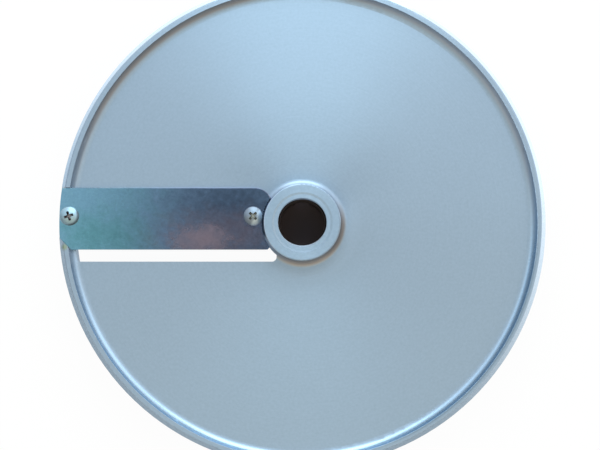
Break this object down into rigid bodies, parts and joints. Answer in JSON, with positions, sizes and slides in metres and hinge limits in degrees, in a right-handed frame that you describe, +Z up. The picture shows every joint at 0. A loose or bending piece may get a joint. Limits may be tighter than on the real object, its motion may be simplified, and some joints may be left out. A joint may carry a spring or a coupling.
{
  "type": "slicing disc",
  "caption": "Round food processor slicing disc: turned cast plate with a raised rim, central hub bore, and a steel blade screwed along a radius over a slot.",
  "frame": {"origin": "on the bore's axis, at the lower end of the hub, which the disc stands on", "axes": "+Z up out of the working face along the bore; the blade lies along -X and its cutting edge looks towards -Y"},
  "size_m": [0.205, 0.205, 0.032],
  "materials": {
    "cast_aluminium": "satin, turned",
    "blade_steel": "mill finish, half bright",
    "screw_steel": "bright plated"
  },
  "bodies": {
    "root": {"disc_body": "cast_aluminium", "slicing_blade": "blade_steel", "rim_screw": "screw_steel", "hub_screw": "screw_steel"}
  },
  "joints": []
}
